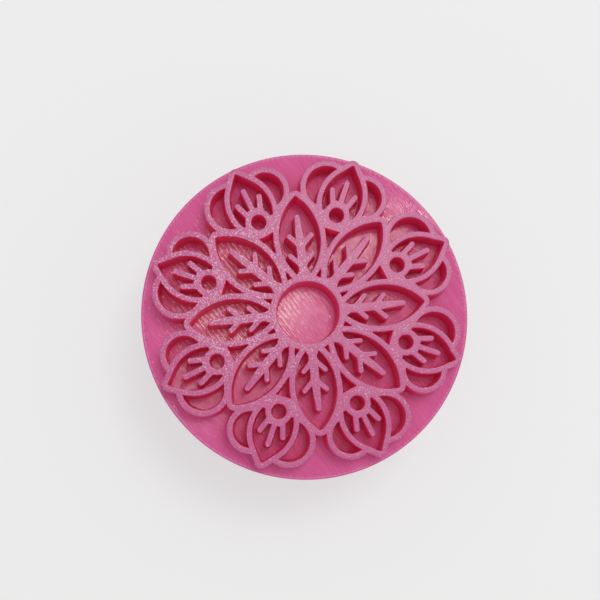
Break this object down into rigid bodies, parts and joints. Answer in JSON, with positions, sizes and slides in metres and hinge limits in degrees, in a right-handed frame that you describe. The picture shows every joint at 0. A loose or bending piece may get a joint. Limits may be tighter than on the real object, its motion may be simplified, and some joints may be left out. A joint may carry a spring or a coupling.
{
  "type": "clay stamp",
  "caption": "Round hand stamp for clay: a raised flower mandala on a flat disc, with a waisted knob handle in its back.",
  "frame": {"origin": "middle of the flat end of the handle, on which the stamp stands with its relief up", "axes": "+Z from the handle's end towards the relief; +X along the middle of leaf_1; leaves and buds are numbered counter-clockwise seen from +Z"},
  "size_m": [0.06, 0.06, 0.029],
  "materials": {
    "face_plastic": "silky pink, printed in layers, with fine tracks on the face",
    "handle_plastic": "silky pink, printed in layers"
  },
  "bodies": {
    "root": {"base_disc": "face_plastic", "hub_ring": "face_plastic", "leaf_1": "face_plastic", "leaf_2": "face_plastic", "leaf_3": "face_plastic", "leaf_4": "face_plastic", "leaf_5": "face_plastic", "leaf_6": "face_plastic", "leaf_7": "face_plastic", "leaf_8": "face_plastic", "bud_1": "face_plastic", "bud_2": "face_plastic", "bud_3": "face_plastic", "bud_4": "face_plastic", "bud_5": "face_plastic", "bud_6": "face_plastic", "bud_7": "face_plastic", "bud_8": "face_plastic", "handle": "handle_plastic"}
  },
  "joints": []
}
